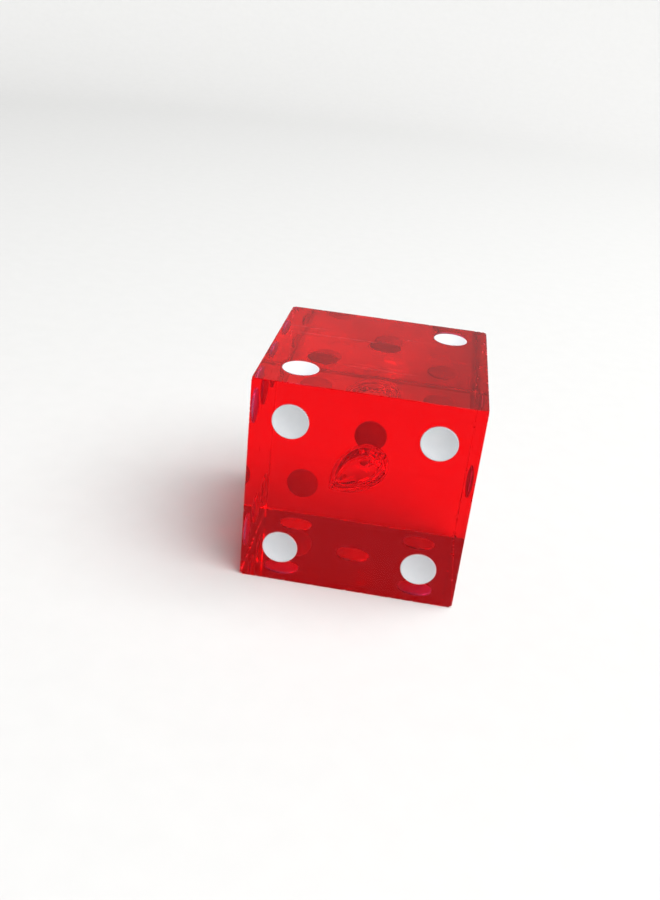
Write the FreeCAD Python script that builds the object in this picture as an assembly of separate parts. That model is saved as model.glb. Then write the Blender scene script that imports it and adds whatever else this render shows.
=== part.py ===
import FreeCAD, Part
import math
import os

# Casino die, 3/4 inch across. Lengths are in millimetres and +Z is up.
# The origin is the centre of the face that the die stands on.
# The die is one block of clear red plastic with a recess for every pip,
# and each recess is filled by its own inlay of white enamel.

EDGE = 19.05            # across the flats, 3/4 inch
EDGE_BREAK = 0.08       # how far each of the twelve nearly sharp edges is chamfered back
CORNER_WEAR = 0.35      # how far a knocked corner is worn back along its edges

PIP_DIAMETER = 3.10
PIP_SPREAD = 6.10       # from a face's middle to a pip's row or column
RECESS_WALL = 0.08      # straight wall at the mouth of a recess
RECESS_DEPTH = 0.30     # deepest point of the round-nosed recess
DISH_DEPTH = 0.17       # how far the enamel sinks below the face at its middle

VOID_CENTRE = (-0.5, -1.95, 9.5)    # trapped gas pocket, left by the casting
VOID_LONG = 2.75        # half length, along a line that rises to the right
VOID_WIDE = 2.15        # half width, across that line
VOID_THICK = 0.90       # half thickness
VOID_RISE = 44.0        # degrees that the long line rises from level
VOID_LEAN = 40.0        # degrees that the broad side leans back from upright

HALF = EDGE / 2
PIP_RADIUS = PIP_DIAMETER / 2
X, Y, Z = 0, 1, 2
WORDS = {X: {-1: "left", 1: "right"}, Y: {-1: "front", 1: "rear"}, Z: {-1: "lower", 1: "upper"}}
CORNERS = [(-1, -1), (-1, 1), (1, -1), (1, 1)]

# Each face: its number, the axis that it faces along, which way, and where its
# pips are along the other two axes, in X, Y, Z order. Opposite faces add to seven.
FACES = [
    ("one", X, 1, [(0, 0)]),
    ("two", Z, 1, [(-1, -1), (1, 1)]),
    ("three", Y, 1, [(-1, -1), (0, 0), (1, 1)]),
    ("four", Y, -1, CORNERS),
    ("five", Z, -1, CORNERS + [(0, 0)]),
    ("six", X, -1, CORNERS + [(0, -1), (0, 1)]),
]


def half_way_point(depth):
    """Where a round floor is half way to its lowest point: distances outwards and down from the rim."""
    radius = (PIP_RADIUS ** 2 + depth ** 2) / (2 * depth)
    half_angle = math.asin(PIP_RADIUS / radius) / 2
    return radius * math.sin(half_angle), depth - radius * (1 - math.cos(half_angle))


def floor_arc(rim_z, lowest_z):
    """Arc from the rim, at the pip's radius, down to the pip's own axis."""
    across, down = half_way_point(rim_z - lowest_z)
    rim = FreeCAD.Vector(PIP_RADIUS, 0, rim_z)
    middle = FreeCAD.Vector(across, 0, rim_z - down)
    lowest = FreeCAD.Vector(0, 0, lowest_z)
    return Part.Arc(rim, middle, lowest).toShape()


def turned(edges):
    """Solid made by turning a closed outline about the Z axis."""
    outline = Part.Wire(Part.sortEdges(edges)[0])
    return Part.Face(outline).revolve(FreeCAD.Vector(0, 0, 0), FreeCAD.Vector(0, 0, 1), 360)


def line(start, end):
    """Straight edge between two points given as radius and height."""
    return Part.makeLine(FreeCAD.Vector(start[0], 0, start[1]), FreeCAD.Vector(end[0], 0, end[1]))


def inlay():
    """Enamel of one pip, at the origin with its dished face towards +Z."""
    wall_foot = (PIP_RADIUS, -RECESS_WALL)
    return turned([
        floor_arc(0, -DISH_DEPTH),
        line((PIP_RADIUS, 0), wall_foot),
        floor_arc(-RECESS_WALL, -RECESS_DEPTH),
        line((0, -RECESS_DEPTH), (0, -DISH_DEPTH)),
    ])


def recess_cutter():
    """Round-nosed cutter that leaves one pip's recess, standing clear above the face."""
    clear = PIP_RADIUS
    return turned([
        floor_arc(-RECESS_WALL, -RECESS_DEPTH),
        line((0, -RECESS_DEPTH), (0, clear)),
        line((0, clear), (PIP_RADIUS, clear)),
        line((PIP_RADIUS, clear), (PIP_RADIUS, -RECESS_WALL)),
    ])


def on_face(shape, axis, side, spot):
    """Copy of a shape, stood on a face at one pip's place."""
    normal = [0, 0, 0]
    normal[axis] = side
    place = [0, 0, HALF]
    place[axis] += side * HALF
    for other, step in zip([a for a in (X, Y, Z) if a != axis], spot):
        place[other] += step * PIP_SPREAD
    turn = FreeCAD.Rotation(FreeCAD.Vector(0, 0, 1), FreeCAD.Vector(*normal))
    moved = shape.copy()
    moved.Placement = FreeCAD.Placement(FreeCAD.Vector(*place), turn)
    return moved


def pip_name(number, axis, spot):
    """Name such as pip_six_upper_middle, from the face's number and the pip's place on it."""
    others = [a for a in (X, Y, Z) if a != axis]
    if spot == (0, 0):
        return "pip_" + number + "_centre"
    words = [WORDS[a].get(step, "middle") for a, step in zip(others, spot)]
    if others[1] == Z or axis == Z:
        words.reverse()
    return "_".join(["pip", number] + words)


def block():
    """Cube with chamfered edges, its corners worn back to a sphere."""
    cube = Part.makeBox(EDGE, EDGE, EDGE, FreeCAD.Vector(-HALF, -HALF, 0))
    cube = cube.makeChamfer(EDGE_BREAK, cube.Edges)
    reach = math.sqrt(2 * HALF ** 2 + (HALF - CORNER_WEAR) ** 2)
    return cube.common(Part.makeSphere(reach, FreeCAD.Vector(0, 0, HALF)))


def gas_pocket():
    """Smooth flat pocket, a ball stretched along three axes, raised at one end and leant back."""
    stretch = FreeCAD.Matrix()
    stretch.scale(VOID_LONG, VOID_THICK, VOID_WIDE)
    pocket = Part.makeSphere(1).transformGeometry(stretch)
    rise = FreeCAD.Rotation(FreeCAD.Vector(0, 1, 0), -VOID_RISE)
    lean = FreeCAD.Rotation(FreeCAD.Vector(1, 0, 0), -VOID_LEAN)
    pocket.Placement = FreeCAD.Placement(FreeCAD.Vector(*VOID_CENTRE), lean.multiply(rise))
    return pocket


def build():
    """Every node's name and its solid."""
    nodes = {}
    cutters = [gas_pocket()]
    for number, axis, side, spots in FACES:
        for spot in spots:
            nodes[pip_name(number, axis, spot)] = on_face(inlay(), axis, side, spot)
            cutters.append(on_face(recess_cutter(), axis, side, spot))
    nodes["die_body"] = block().cut(cutters)
    return nodes


os.makedirs("parts", exist_ok=True)
for name, shape in build().items():
    solid = shape.Solids[0]
    solid.exportStep("parts/" + name + ".step")
    print(name, "volume", round(solid.Volume, 3), "valid", solid.isValid(), "solids", len(shape.Solids))
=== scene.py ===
# %% [markdown]
# # A clear red casino die
# This lesson builds the looks of one clear red die with white pips, standing on a pale card.
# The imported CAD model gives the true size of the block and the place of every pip, so the first
# step is to load it. Everything made afterwards is measured from it, in metres, with +Z up.

# %% Load the fixed frame
import math

import bmesh
import bpy
from mathutils import Matrix, Quaternion, Vector


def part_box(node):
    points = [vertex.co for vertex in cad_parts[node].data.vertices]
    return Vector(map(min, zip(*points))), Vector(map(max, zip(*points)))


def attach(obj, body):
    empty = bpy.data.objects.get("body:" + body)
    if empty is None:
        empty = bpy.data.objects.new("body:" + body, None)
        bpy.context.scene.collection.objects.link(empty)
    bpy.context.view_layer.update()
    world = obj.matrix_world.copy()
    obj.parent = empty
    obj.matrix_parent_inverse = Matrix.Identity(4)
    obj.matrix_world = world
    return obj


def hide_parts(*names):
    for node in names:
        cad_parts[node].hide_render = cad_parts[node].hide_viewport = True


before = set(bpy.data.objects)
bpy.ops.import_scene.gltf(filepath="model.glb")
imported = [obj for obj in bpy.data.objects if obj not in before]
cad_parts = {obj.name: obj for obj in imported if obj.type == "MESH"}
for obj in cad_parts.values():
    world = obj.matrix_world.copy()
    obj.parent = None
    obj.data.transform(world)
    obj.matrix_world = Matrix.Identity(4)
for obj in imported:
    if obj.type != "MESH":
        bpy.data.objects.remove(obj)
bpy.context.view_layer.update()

scene = bpy.context.scene

# %% [markdown]
# ## Measures
# A die is a cube, so one length and one point describe its outside. The pips are read from the
# boxes of their CAD nodes: the thin way of a box is the way that the pip's face looks. Only what
# the boxes cannot tell is typed in, in millimetres, the unit that a die maker would use.

# %% Measures taken from the frame
MM = 0.001
block_low, block_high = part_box("die_body")
edge = (block_high - block_low).x
half = edge / 2
middle = (block_low + block_high) / 2

pip_nodes = sorted(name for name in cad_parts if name.startswith("pip_"))
spots = []
for name in pip_nodes:
    low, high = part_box(name)
    size, place = high - low, (low + high) / 2
    axis = min(range(3), key=lambda a: size[a])
    facing = Vector((0, 0, 0))
    facing[axis] = math.copysign(1, (place - middle)[axis])
    place[axis] = middle[axis] + facing[axis] * half
    spots.append((place, facing))
pip_radius = max(size) / 2
recess_depth = min(size)
RECESS_WALL = 0.08 * MM     # straight wall at the mouth of a recess
DISH_DEPTH = 0.26 * MM      # how far the enamel sinks in the middle as it dries
print("edge", round(edge / MM, 2), "mm, pips", len(spots), "radius", round(pip_radius / MM, 3),
      "mm, depth", round(recess_depth / MM, 3), "mm")

# %% [markdown]
# ## The camera
# A small thing is looked at from close by, and that gives its sides a strong perspective. The
# camera is placed by two angles round the block and a distance counted in edge lengths. Then it
# leans a little about its own line of sight, as a camera held in the hand does.

# %% Camera
AZIMUTH = 2.6       # degrees round the block, from square on to the four
ELEVATION = 26.7    # degrees above the table
DISTANCE = 4.4      # edge lengths from the block's middle
LEAN = 6.2          # degrees that the camera leans about its line of sight
LENS = 35.9         # mm, for a picture whose long side is 36 mm
AIM = Vector((-0.184, 0.0, -0.041)) * edge      # where the line of sight passes the middle


def towards(azimuth, elevation):
    """Unit vector from the block towards something seen at these angles."""
    a, e = math.radians(azimuth), math.radians(elevation)
    return Vector((math.sin(a) * math.cos(e), -math.cos(a) * math.cos(e), math.sin(e)))


camera = bpy.data.objects.new("camera", bpy.data.cameras.new("camera"))
scene.collection.objects.link(camera)
scene.camera = camera
camera.data.lens = LENS
camera.data.sensor_width = 36
camera.data.clip_start = 1 * MM
camera.location = middle + towards(AZIMUTH, ELEVATION) * DISTANCE * edge
sight = (middle + AIM - camera.location).normalized()
camera.rotation_mode = "QUATERNION"
camera.rotation_quaternion = sight.to_track_quat("-Z", "Y") @ Quaternion((0, 0, 1), math.radians(LEAN))
print("camera at", [round(c / MM, 1) for c in camera.location], "mm")

# %% [markdown]
# ## Small helpers
# A colour picked on a screen is an sRGB value, while a shader works in linear light, so one
# function turns hex colours linear. Another adds a node, fills in its settings and joins its
# inputs, for shaders and Geometry Nodes alike. The last one starts an empty node material.

# %% Helpers


def colour(hex_code):
    """Linear red, green, blue and alpha of an sRGB hex colour."""
    parts = [int(hex_code[i:i + 2], 16) / 255 for i in (1, 3, 5)]
    return (*(p / 12.92 if p <= 0.04045 else ((p + 0.055) / 1.055) ** 2.4 for p in parts), 1.0)


def add(tree, kind, inputs=None, **settings):
    """New node. Inputs go by name or number, and a socket given as a value is joined."""
    node = tree.nodes.new(kind)
    for key, value in settings.items():
        setattr(node, key, value)
    for key, value in (inputs or {}).items():
        if isinstance(value, bpy.types.NodeSocket):
            tree.links.new(value, node.inputs[key])
        else:
            node.inputs[key].default_value = value
    return node


def new_material(name):
    """Empty node material and its tree."""
    material = bpy.data.materials.new(name)
    material.use_nodes = True
    material.node_tree.nodes.clear()
    return material, material.node_tree


print("mid grey is", round(colour("#808080")[0], 3), "in linear light")

# %% [markdown]
# ## Clear red cellulose acetate
# Table dice are cut from cast cellulose acetate and polished, so light bends into the block and
# the far faces throw it back. The red isn't painted on: it deepens with the length of plastic that
# the light goes through. A volume that absorbs green and blue does exactly that. The surface is
# a smooth glass-like shell, with a few fine hairlines where the die has been rubbed.

# %% Red plastic
ACETATE_IOR = 1.47
DYE = (0.9945, 0.072, 0.45, 1.0)    # what the dye lets through, already linear
DYE_PER_METRE = 700.0
GLINT_TINT = (1.0, 0.2, 0.28, 1.0)  # reddens the gloss, so the faces don't look milky
HAIRLINES = ((0.5, 900.0), (2.1, 700.0))    # direction in radians, noise cells per metre across
STRETCH = 0.05                      # cells per metre along a hairline, as a share of those across
SCRATCHED = (0.70, 0.74)            # noise values where a hairline starts and is full


def red_plastic():
    material, tree = new_material("cast_cellulose_acetate_red")
    place = add(tree, "ShaderNodeTexCoord").outputs["Object"]
    lines = None
    for turn, spread in HAIRLINES:
        slant = add(tree, "ShaderNodeMapping", {"Vector": place, "Rotation": (0.3, 0.2, turn),
                                                "Scale": (spread * STRETCH, spread, spread)})
        noise = add(tree, "ShaderNodeTexNoise", {"Vector": slant.outputs[0], "Scale": 1.0,
                                                 "Detail": 1.0})
        line = add(tree, "ShaderNodeMapRange", {"Value": noise.outputs["Fac"],
                                                "From Min": SCRATCHED[0],
                                                "From Max": SCRATCHED[1]})
        lines = line.outputs[0] if lines is None else add(
            tree, "ShaderNodeMath", {0: lines, 1: line.outputs[0]}, operation="MAXIMUM").outputs[0]
    rough = add(tree, "ShaderNodeMapRange", {"Value": lines, "To Min": 0.0, "To Max": 0.25})
    bump = add(tree, "ShaderNodeBump", {"Height": lines, "Strength": 0.25, "Distance": 0.002 * MM},
               invert=True)
    surface = add(tree, "ShaderNodeBsdfPrincipled",
                  {"Base Color": (1.0, 1.0, 1.0, 1.0), "Roughness": rough.outputs[0],
                   "IOR": ACETATE_IOR, "Transmission Weight": 1.0, "Specular Tint": GLINT_TINT,
                   "Normal": bump.outputs[0]})
    dye = add(tree, "ShaderNodeVolumeAbsorption", {"Color": DYE, "Density": DYE_PER_METRE})
    add(tree, "ShaderNodeOutputMaterial", {"Surface": surface.outputs[0], "Volume": dye.outputs[0]})
    return material


plastic = red_plastic()
print("made", plastic.name)

# %% [markdown]
# ## White filling enamel
# The recesses are filled with a thick white paint. It shrinks as it dries, so it ends in a shallow
# dish with a soft gloss. A fine orange peel and a faint uneven tone keep it from looking like paper.

# %% White enamel


def white_enamel():
    material, tree = new_material("white_filling_enamel")
    place = add(tree, "ShaderNodeTexCoord").outputs["Object"]
    cloud = add(tree, "ShaderNodeTexNoise", {"Vector": place, "Scale": 900.0, "Detail": 3.0})
    tone = add(tree, "ShaderNodeMix", {"Factor": cloud.outputs["Fac"], 6: colour("#cbced2"),
                                       7: colour("#d7d9dc")}, data_type="RGBA")
    gloss = add(tree, "ShaderNodeMapRange", {"Value": cloud.outputs["Fac"], "To Min": 0.3,
                                             "To Max": 0.5})
    peel = add(tree, "ShaderNodeTexNoise", {"Vector": place, "Scale": 2600.0, "Detail": 2.0})
    bump = add(tree, "ShaderNodeBump", {"Height": peel.outputs["Fac"], "Strength": 0.3,
                                        "Distance": 0.01 * MM})
    surface = add(tree, "ShaderNodeBsdfPrincipled",
                  {"Base Color": tone.outputs[2], "Roughness": gloss.outputs[0], "IOR": 1.5,
                   "Normal": bump.outputs[0]})
    add(tree, "ShaderNodeOutputMaterial", {"Surface": surface.outputs[0]})
    return material


enamel = white_enamel()
print("made", enamel.name)

# %% [markdown]
# ## From a tree or an outline to a mesh
# Geometry Nodes suit whatever repeats or follows a rule. A tree needs named inputs on its outside
# and the same two nodes at its end, so small functions write both. Another runs a finished tree and
# keeps only its result as a plain mesh. Round things come off a lathe, which spins an outline.

# %% Mesh helpers


def new_tree(name, **sockets):
    """Geometry tree with a mesh in, a mesh out and named inputs, each given as (type, value)."""
    tree = bpy.data.node_groups.new(name, "GeometryNodeTree")
    tree.interface.new_socket("Geometry", in_out="INPUT", socket_type="NodeSocketGeometry")
    tree.interface.new_socket("Geometry", in_out="OUTPUT", socket_type="NodeSocketGeometry")
    for key, (kind, value) in sockets.items():
        socket = tree.interface.new_socket(key.replace("_", " "), in_out="INPUT",
                                           socket_type="NodeSocket" + kind)
        if value is not None:
            socket.default_value = value
    return tree, tree.nodes.new("NodeGroupInput").outputs


def finish_tree(tree, geometry, material):
    """Close a tree with Realize Instances and Set Material."""
    real = add(tree, "GeometryNodeRealizeInstances", {0: geometry})
    painted = add(tree, "GeometryNodeSetMaterial", {"Geometry": real.outputs[0], "Material": material})
    tree.links.new(painted.outputs[0], tree.nodes.new("NodeGroupOutput").inputs[0])


def grown(name, seed_mesh, tree, **values):
    """New object whose plain mesh is what the tree makes of the seed mesh."""
    thing = bpy.data.objects.new(name, seed_mesh)
    scene.collection.objects.link(thing)
    modifier = thing.modifiers.new(tree.name, "NODES")
    modifier.node_group = tree
    for item in tree.interface.items_tree:
        key = item.name.replace(" ", "_")
        if item.in_out == "INPUT" and key in values:
            modifier[item.identifier] = values[key]
    solid = thing.evaluated_get(bpy.context.evaluated_depsgraph_get())
    mesh = bpy.data.meshes.new_from_object(solid)
    thing.modifiers.clear()
    thing.data = mesh
    return thing


def lathe(name, profile, segments):
    """Closed mesh turned about Z from points given as radius and height, from pole to pole."""
    b = bmesh.new()
    points = [b.verts.new((r, 0, z)) for r, z in profile]
    lines = [b.edges.new(pair) for pair in zip(points, points[1:])]
    bmesh.ops.spin(b, geom=points + lines, cent=(0, 0, 0), axis=(0, 0, 1),
                   angle=math.tau, steps=segments, use_merge=True)
    bmesh.ops.remove_doubles(b, verts=b.verts, dist=1e-8)
    bmesh.ops.recalc_face_normals(b, faces=b.faces)
    for face in b.faces:
        face.smooth = True
    mesh = bpy.data.meshes.new(name)
    b.to_mesh(mesh)
    b.free()
    return mesh


print("mesh helpers:", ", ".join(f.__name__ for f in (new_tree, finish_tree, grown, lathe)))

# %% [markdown]
# ## The pips
# Every recess holds the same small inlay, so one inlay is turned on a lathe and a tree sets a copy
# on each of the 21 spots. The enamel is stuck to the plastic with no air between them. To show
# that, its hidden side reaches a hundredth of a millimetre into the block: light inside the plastic
# then meets the enamel directly, and the pips behind look like plain dark discs.

# %% Pips
BITE = 0.012 * MM       # how far the enamel's hidden side reaches into the plastic
GROOVE = 0.02 * MM      # hairline left at the mouth where the enamel shrank from the wall


def bowl(radius, depth, count):
    """Points of a shallow round floor from the middle to the rim, whose rim is at height 0."""
    ball = (radius ** 2 + depth ** 2) / (2 * depth)
    return [(r, ball - depth - math.sqrt(ball ** 2 - r ** 2))
            for r in (radius * i / count for i in range(count + 1))]


outer = pip_radius + BITE
under = bowl(outer, recess_depth - RECESS_WALL, 14)
profile = bowl(pip_radius - GROOVE, DISH_DEPTH, 18)
profile += [(outer, -0.05 * MM)]
profile += [(r, z - RECESS_WALL - BITE) for r, z in reversed(under)]
inlay_mesh = lathe("inlay", profile, 96)
inlay_mesh.materials.append(enamel)
inlay = bpy.data.objects.new("inlay", inlay_mesh)
scene.collection.objects.link(inlay)

spot_mesh = bpy.data.meshes.new("spots")
spot_mesh.from_pydata([place for place, facing in spots], [], [])
facings = spot_mesh.attributes.new("facing", "FLOAT_VECTOR", "POINT")
for i, (place, facing) in enumerate(spots):
    facings.data[i].vector = facing

tree, given = new_tree("pip_inlays", Inlay=("Object", None), Seed=("Int", 3), Enamel=("Material", None))
facing = add(tree, "GeometryNodeInputNamedAttribute", {"Name": "facing"}, data_type="FLOAT_VECTOR")
stand = add(tree, "FunctionNodeAlignRotationToVector", {"Vector": facing.outputs[0]}, axis="Z")
spin = add(tree, "FunctionNodeRandomValue", {"Min": (0, 0, 0), "Max": (0, 0, math.tau),
                                             "Seed": given["Seed"]}, data_type="FLOAT_VECTOR")
spin_turn = add(tree, "FunctionNodeEulerToRotation", {"Euler": spin.outputs[0]})
turned = add(tree, "FunctionNodeRotateRotation", {"Rotation": stand.outputs[0],
                                                  "Rotate By": spin_turn.outputs[0]},
             rotation_space="LOCAL")
one = add(tree, "GeometryNodeObjectInfo", {"Object": given["Inlay"]})
copies = add(tree, "GeometryNodeInstanceOnPoints", {"Points": given["Geometry"],
                                                    "Instance": one.outputs["Geometry"],
                                                    "Rotation": turned.outputs[0]})
finish_tree(tree, copies.outputs[0], given["Enamel"])
pips = grown("white_pips", spot_mesh, tree, Inlay=inlay, Enamel=enamel)
bpy.data.objects.remove(inlay)
print("pips", len(pips.data.polygons), "faces")

# %% [markdown]
# ## The gas pocket
# A bubble was trapped when the plastic was cast, and it froze as a flat leaf: pointed at one end,
# round at the other, with folds along its margin. It is modelled as a real hole. A ball is drawn
# out to a point, rippled towards its rim and laid at its slant, and its faces look into the hollow,
# because that is where the plastic ends. Light crosses the flat middle almost straight, while the
# steep folds throw it aside and look dark. A noise dents its round end.

# %% Gas pocket
POCKET_AT = Vector((-0.5, -1.95, 9.5)) * MM     # middle, from the centre of the bottom face
POCKET_SIZE = Vector((3.1, 1.8, 2.45)) * MM    # half length, half thickness, half width
POCKET_RISE = 44.0      # degrees that its long line rises from level
POCKET_LEAN = 40.0      # degrees that it leans back from upright
FOLDED = (0.45, 0.8)    # squared share of the way to the rim where folds start and are full
CRUMPLED = (0.3, 0.7)   # where dents start and are full, from the middle to the round end

tree, given = new_tree(
    "gas_pocket", Half_Size=("Vector", POCKET_SIZE), Tip=("Float", 0.28), Folds=("Float", 5.2),
    Fold_Height=("Float", 0.26), Crumple=("Float", 0.9), Crumple_Scale=("Float", 2.6),
    Turn=("Rotation", None),
    Place=("Vector", None), Plastic=("Material", None))
ball = add(tree, "GeometryNodeMeshUVSphere", {"Segments": 160, "Rings": 80, "Radius": 1.0})
laid = add(tree, "GeometryNodeTransform", {"Geometry": ball.outputs[0],
                                           "Rotation": (0.0, math.pi / 2, 0.0)})
at = add(tree, "GeometryNodeInputPosition").outputs[0]
xyz = add(tree, "ShaderNodeSeparateXYZ", {0: at}).outputs
along = add(tree, "ShaderNodeMapRange", {"Value": xyz["X"], "From Min": -1.0, "From Max": 1.0,
                                         "To Min": 0.0001, "To Max": 1.0})
narrow = add(tree, "ShaderNodeMath", {0: along.outputs[0], 1: given["Tip"]}, operation="POWER")
rim = add(tree, "ShaderNodeMath", {0: xyz["Y"], 1: xyz["Y"]}, operation="MULTIPLY")
out = add(tree, "ShaderNodeMath", {0: 1.0, 1: rim.outputs[0]}, operation="SUBTRACT")
wave = add(tree, "ShaderNodeMath", {0: out.outputs[0], 1: given["Folds"]}, operation="MULTIPLY")
wave = add(tree, "ShaderNodeMath", {0: wave.outputs[0], 1: math.tau}, operation="MULTIPLY")
wave = add(tree, "ShaderNodeMath", {0: wave.outputs[0]}, operation="SINE")
near_rim = add(tree, "ShaderNodeMapRange", {"Value": out.outputs[0], "From Min": FOLDED[0],
                                            "From Max": FOLDED[1]}, interpolation_type="SMOOTHSTEP")
fold = add(tree, "ShaderNodeMath", {0: wave.outputs[0], 1: near_rim.outputs[0]}, operation="MULTIPLY")
fold = add(tree, "ShaderNodeMath", {0: fold.outputs[0], 1: given["Fold Height"]}, operation="MULTIPLY")
round_end = add(tree, "ShaderNodeMapRange", {"Value": xyz["X"], "From Min": CRUMPLED[0],
                                                 "From Max": CRUMPLED[1]},
                interpolation_type="SMOOTHSTEP")
lumpy = add(tree, "ShaderNodeTexNoise", {"Vector": at, "Scale": given["Crumple Scale"], "Detail": 1.0})
lumpy = add(tree, "ShaderNodeMath", {0: lumpy.outputs["Fac"], 1: 0.5}, operation="SUBTRACT")
lumpy = add(tree, "ShaderNodeMath", {0: lumpy.outputs[0], 1: given["Crumple"]}, operation="MULTIPLY")
lumpy = add(tree, "ShaderNodeMath", {0: lumpy.outputs[0], 1: round_end.outputs[0]}, operation="MULTIPLY")
fold = add(tree, "ShaderNodeMath", {0: fold.outputs[0], 1: lumpy.outputs[0]}, operation="ADD")
swell = add(tree, "ShaderNodeMath", {0: fold.outputs[0], 1: 1.0}, operation="ADD")
thick = add(tree, "ShaderNodeMath", {0: xyz["Y"], 1: swell.outputs[0]}, operation="MULTIPLY")
thick = add(tree, "ShaderNodeMath", {0: thick.outputs[0], 1: narrow.outputs[0]}, operation="MULTIPLY")
wide = add(tree, "ShaderNodeMath", {0: xyz["Z"], 1: narrow.outputs[0]}, operation="MULTIPLY")
shape = add(tree, "ShaderNodeCombineXYZ", {0: xyz["X"], 1: thick.outputs[0], 2: wide.outputs[0]})
sized = add(tree, "ShaderNodeVectorMath", {0: shape.outputs[0], 1: given["Half Size"]},
            operation="MULTIPLY")
drawn = add(tree, "GeometryNodeSetPosition", {"Geometry": laid.outputs[0], "Position": sized.outputs[0]})
inside_out = add(tree, "GeometryNodeFlipFaces", {0: drawn.outputs[0]})
placed = add(tree, "GeometryNodeTransform", {"Geometry": inside_out.outputs[0],
                                             "Translation": given["Place"],
                                             "Rotation": given["Turn"]})
finish_tree(tree, placed.outputs[0], given["Plastic"])
slant = (Matrix.Rotation(math.radians(-POCKET_LEAN), 3, "X")
         @ Matrix.Rotation(math.radians(-POCKET_RISE), 3, "Y"))
base = Vector((middle.x, middle.y, block_low.z))
empty = bpy.data.meshes.new("empty")
pocket = grown("gas_pocket", empty, tree, Turn=slant.to_euler(), Place=base + POCKET_AT, Plastic=plastic)
print(pocket.name, len(pocket.data.polygons), "faces")

# %% [markdown]
# ## Small bubbles
# Cast plastic that holds one large bubble can hold a few small ones. These are plain round holes,
# scattered by a fixed seed inside a box next to the pocket's round end. The box is measured in the
# pocket's own directions, so the beads are turned and moved together with it.

# %% Small bubbles
tree, given = new_tree(
    "small_bubbles", Count=("Int", 4), Nearest=("Vector", Vector((0.9, -2.3, -0.7)) * MM),
    Farthest=("Vector", Vector((2.1, -1.8, 0.8)) * MM), Least=("Float", 0.22 * MM),
    Most=("Float", 0.32 * MM), Seed=("Int", 5), Turn=("Rotation", None), Place=("Vector", None),
    Plastic=("Material", None))
where = add(tree, "FunctionNodeRandomValue", {"Min": given["Nearest"], "Max": given["Farthest"],
                                              "Seed": given["Seed"]}, data_type="FLOAT_VECTOR")
dots = add(tree, "GeometryNodePoints", {"Count": given["Count"], "Position": where.outputs[0]})
bead = add(tree, "GeometryNodeMeshIcoSphere", {"Radius": 1.0, "Subdivisions": 4})
hollow = add(tree, "GeometryNodeFlipFaces", {0: bead.outputs[0]})
radius = add(tree, "FunctionNodeRandomValue", {2: given["Least"], 3: given["Most"],
                                               "Seed": given["Seed"]}, data_type="FLOAT")
beads = add(tree, "GeometryNodeInstanceOnPoints", {"Points": dots.outputs[0],
                                                   "Instance": hollow.outputs[0],
                                                   "Scale": radius.outputs[1]})
placed = add(tree, "GeometryNodeTransform", {"Geometry": beads.outputs[0],
                                             "Translation": given["Place"],
                                             "Rotation": given["Turn"]})
finish_tree(tree, placed.outputs[0], given["Plastic"])
beads = grown("small_bubbles", empty, tree, Turn=slant.to_euler(), Place=base + POCKET_AT,
              Plastic=plastic)
for void in (pocket, beads):
    for face in void.data.polygons:
        face.use_smooth = True
print(beads.name, len(beads.data.polygons), "faces")

# %% [markdown]
# ## The block
# The CAD body already has its broken edges, worn corners and 21 recesses. A copy of its mesh is
# welded, because the CAD writes loose triangles, and the smooth stand-in for the bubble is taken
# out. Flat faces keep flat shading, or the light inside would be bent; only rounded ones are smooth.

# %% Block
CAD_BREAK = 0.08 * MM   # chamfer that the CAD leaves along each edge
EDGE_LEFT = 0.035 * MM  # what a razor-edged die keeps of it
NEAR = 0.001 * MM       # two places closer than this count as the same
FLAT_ENOUGH = 0.99999   # a normal this near to one axis belongs to a flat face
b = bmesh.new()
b.from_mesh(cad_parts["die_body"].data)
bmesh.ops.remove_doubles(b, verts=b.verts, dist=1e-7)
b.verts.ensure_lookup_table()
outside = {max(b.verts, key=lambda v: v.co.x)}
frontier = list(outside)
while frontier:
    vert = frontier.pop()
    for line in vert.link_edges:
        other = line.other_vert(vert)
        if other not in outside:
            outside.add(other)
            frontier.append(other)
bmesh.ops.delete(b, geom=[v for v in b.verts if v not in outside], context="VERTS")
for vert in b.verts:
    for a in range(3):
        out = vert.co[a] - middle[a]
        if abs(abs(out) - (half - CAD_BREAK)) < NEAR:
            vert.co[a] = middle[a] + math.copysign(half - EDGE_LEFT, out)
for face in b.faces:
    face.smooth = max(abs(c) for c in face.normal) < FLAT_ENOUGH
block_mesh = bpy.data.meshes.new("block")
b.to_mesh(block_mesh)
print("block", len(b.faces), "faces, open edges", sum(not e.is_manifold for e in b.edges))
b.free()
block_mesh.materials.append(plastic)
block = bpy.data.objects.new("die_block", block_mesh)
scene.collection.objects.link(block)

# %% [markdown]
# ## Nicks along the edges
# Sharp plastic edges chip when dice hit each other. A tree walks along the twelve edges of a cube,
# keeps some of the points at random and sets a small rough lump on each. A boolean cuts the lumps
# out of the block, which leaves tiny bright and dark bites.

# %% Nicks
cube = bmesh.new()
bmesh.ops.create_cube(cube, size=edge)
bmesh.ops.translate(cube, verts=cube.verts, vec=middle)
cube_mesh = bpy.data.meshes.new("cube")
cube.to_mesh(cube_mesh)
cube.free()

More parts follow.
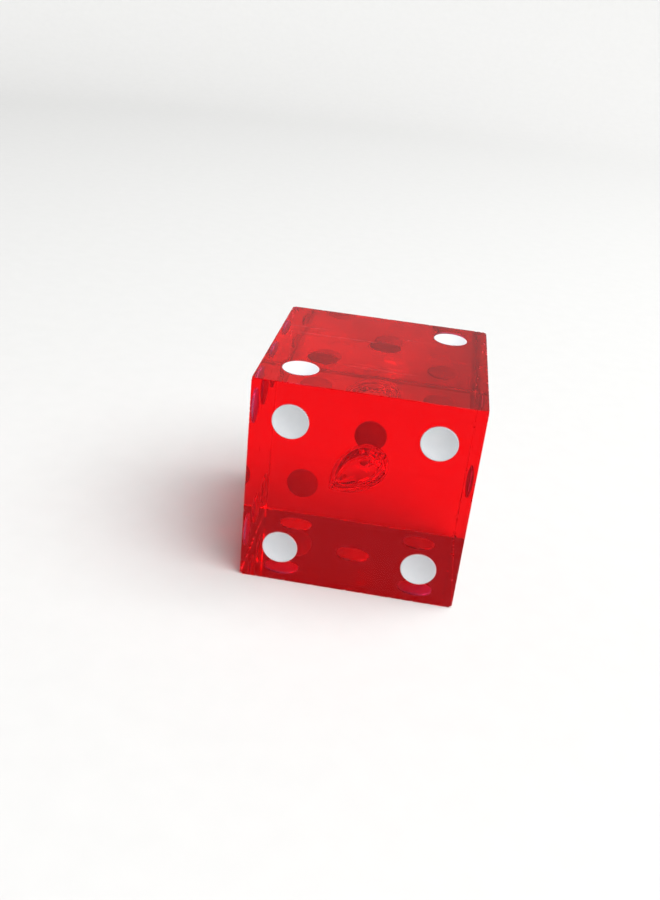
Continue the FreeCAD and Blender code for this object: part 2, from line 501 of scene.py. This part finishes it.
tree, given = new_tree(
    "edge_nicks", Spacing=("Float", 0.5 * MM), Kept=("Float", 0.5), Least=("Float", 0.03 * MM),
    Most=("Float", 0.15 * MM), Seed=("Int", 11), Plastic=("Material", None))
lines = add(tree, "GeometryNodeMeshToCurve", {0: given["Geometry"]})
dots = add(tree, "GeometryNodeCurveToPoints", {"Curve": lines.outputs[0], "Length": given["Spacing"]},
           mode="LENGTH")
keep = add(tree, "FunctionNodeRandomValue", {"Probability": given["Kept"], "Seed": given["Seed"]},
           data_type="BOOLEAN")
lump = add(tree, "GeometryNodeMeshIcoSphere", {"Radius": 1.0, "Subdivisions": 2})
small = add(tree, "FunctionNodeRandomValue", {2: given["Least"], 3: given["Most"],
                                              "Seed": given["Seed"]}, data_type="FLOAT")
tumble = add(tree, "FunctionNodeRandomValue", {"Min": (0, 0, 0), "Max": (math.tau,) * 3,
                                               "Seed": given["Seed"]}, data_type="FLOAT_VECTOR")
lumps = add(tree, "GeometryNodeInstanceOnPoints", {"Points": dots.outputs["Points"],
                                                   "Selection": keep.outputs[3],
                                                   "Instance": lump.outputs[0],
                                                   "Rotation": tumble.outputs[0],
                                                   "Scale": small.outputs[1]})
finish_tree(tree, lumps.outputs[0], given["Plastic"])
nicks = grown("nicks", cube_mesh, tree, Plastic=plastic)
cut = block.modifiers.new("nicks", "BOOLEAN")
cut.object = nicks
cut.operation = "DIFFERENCE"
cut.solver = "EXACT"
cut.use_self = True
bitten = bpy.data.meshes.new_from_object(block.evaluated_get(bpy.context.evaluated_depsgraph_get()))
block.modifiers.clear()
block.data = bitten
bpy.data.objects.remove(nicks)
print("block", len(bitten.polygons), "faces after the nicks")

# %% [markdown]
# ## One body of plastic
# The hollows belong to the same piece of plastic as the outside, so all the meshes are joined
# into one object. Rays then know when they are in the dye and when they are in air.

# %% Join the hollows to the block
b = bmesh.new()
b.from_mesh(block.data)
for void in (pocket, beads):
    b.from_mesh(void.data)
b.to_mesh(block.data)
print("open edges", sum(not e.is_manifold for e in b.edges), "volume",
      round(b.calc_volume() / MM ** 3, 1), "mm3")
b.free()
for void in (pocket, beads):
    bpy.data.objects.remove(void)

# %% [markdown]
# ## Card
# The die stands on a pale card whose far sides sweep up, so that no horizon shows. A thin layer of
# air stays under the die: without it the bottom face would not throw light back. The card is painted
# whiter in a square a little smaller than the die, which the die hides. This is painted light: it
# stands for light gathered under the die, and it lights the plastic from below.

# %% Floor
AIR_GAP = 0.02 * MM     # between the die and the card
FLAT = 0.30             # metres of level card round the die
SWEEP = 0.16            # radius of the upturned border
# painted light: the whiter square under the die stands for light gathered beneath the plastic
PAINTED_LIGHT_INSET = 0.5 * MM   # how far the whiter square stays inside the die's sides
border = [(FLAT + SWEEP * math.sin(t), SWEEP * (1 - math.cos(t)) - AIR_GAP)
          for t in (math.radians(4 * i) for i in range(19))]
floor_mesh = lathe("floor", [(0, -AIR_GAP), (0.1, -AIR_GAP), (0.2, -AIR_GAP)] + border, 128)
floor = bpy.data.objects.new("floor", floor_mesh)
scene.collection.objects.link(floor)
material, tree = new_material("matt_white_card")
place = add(tree, "ShaderNodeTexCoord").outputs["Object"]
fibre = add(tree, "ShaderNodeTexNoise", {"Vector": place, "Scale": 400.0, "Detail": 4.0})
tone = add(tree, "ShaderNodeMix", {"Factor": fibre.outputs["Fac"], 6: colour("#cccccb"),
                                   7: colour("#d0d0cf")}, data_type="RGBA")
apart = add(tree, "ShaderNodeVectorMath", {0: place}, operation="ABSOLUTE")
apart = add(tree, "ShaderNodeSeparateXYZ", {0: apart.outputs[0]}).outputs
reach = add(tree, "ShaderNodeMath", {0: apart["X"], 1: apart["Y"]}, operation="MAXIMUM")
# painted light: the card is painted whiter inside the square under the die
painted_light_square = add(tree, "ShaderNodeMath", {0: reach.outputs[0], 1: half - PAINTED_LIGHT_INSET}, operation="LESS_THAN")
tone = add(tree, "ShaderNodeMix", {"Factor": painted_light_square.outputs[0], 6: tone.outputs[2],
                                   7: colour("#f0f0ef")}, data_type="RGBA")
paper = add(tree, "ShaderNodeBsdfPrincipled", {"Base Color": tone.outputs[2], "Roughness": 0.9,
                                               "Specular IOR Level": 0.2})
add(tree, "ShaderNodeOutputMaterial", {"Surface": paper.outputs[0]})
floor_mesh.materials.append(material)
print("floor", len(floor_mesh.polygons), "faces")

# %% [markdown]
# ## Lamp and sky
# One large soft lamp on the right, high up, shades the dishes of the pips. A pale dome fills the
# rest. It is bright at the horizon, greyer above it, and dark in front and straight overhead, so
# that what faces those ways inside the plastic stays deep red.

# %% Lamp and sky
LOW_SKY = 0.9       # brightness at the horizon
HIGH_SKY = 0.44     # above it, behind the die
FRONT_SKY = 0.04    # above it, in front of the die
CEILING = 0.02      # straight overhead
world = bpy.data.worlds.new("studio")
scene.world = world
world.use_nodes = True
tree = world.node_tree
tree.nodes.clear()
aim = add(tree, "ShaderNodeTexCoord").outputs["Generated"]
way = add(tree, "ShaderNodeSeparateXYZ", {0: aim}).outputs
upper = add(tree, "ShaderNodeMapRange", {"Value": way["Y"], "From Min": -0.3, "From Max": 0.3,
                                         "To Min": FRONT_SKY, "To Max": HIGH_SKY},
            interpolation_type="SMOOTHSTEP")
sky = add(tree, "ShaderNodeMapRange", {"Value": way["Z"], "From Min": 0.24, "From Max": 0.32,
                                       "To Min": LOW_SKY, "To Max": upper.outputs[0]},
          interpolation_type="SMOOTHSTEP")
sky = add(tree, "ShaderNodeMapRange", {"Value": way["Z"], "From Min": 0.66, "From Max": 0.80,
                                       "To Min": sky.outputs[0], "To Max": CEILING},
          interpolation_type="SMOOTHSTEP")
glow = add(tree, "ShaderNodeBackground", {"Strength": sky.outputs[0]})
add(tree, "ShaderNodeOutputWorld", {"Surface": glow.outputs[0]})


def soft_lamp(name, azimuth, elevation, away, across, radiance):
    """Round lamp that faces the die, with the given brightness of its face."""
    lamp = bpy.data.objects.new(name, bpy.data.lights.new(name, "AREA"))
    scene.collection.objects.link(lamp)
    lamp.data.shape = "DISK"
    lamp.data.size = across
    lamp.data.energy = radiance * math.pi * math.pi * across ** 2 / 4
    lamp.location = middle + towards(azimuth, elevation) * away
    lamp.rotation_mode = "QUATERNION"
    lamp.rotation_quaternion = (-towards(azimuth, elevation)).to_track_quat("-Z", "Y")
    return lamp


key = soft_lamp("key", 72, 62, 0.90, 1.05, 6.5)
scene.view_settings.view_transform = "Standard"
scene.cycles.max_bounces = 24
scene.cycles.transmission_bounces = 24
scene.cycles.glossy_bounces = 16
scene.cycles.diffuse_bounces = 4
print("key lamp", round(key.data.energy, 3), "W")

# %% [markdown]
# ## Hand the pieces over
# The die is one rigid body, so both pieces ride on it. Each piece names the CAD nodes that it
# stands for and the material slot that it wears.

# %% Ride, replace and count faces
for piece, slot, replaced in ((block, "clear_red_plastic", ["die_body"]),
                              (pips, "white_enamel", pip_nodes)):
    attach(piece, "root")
    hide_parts(*replaced)
    print(piece.name, len(piece.data.polygons), "faces")
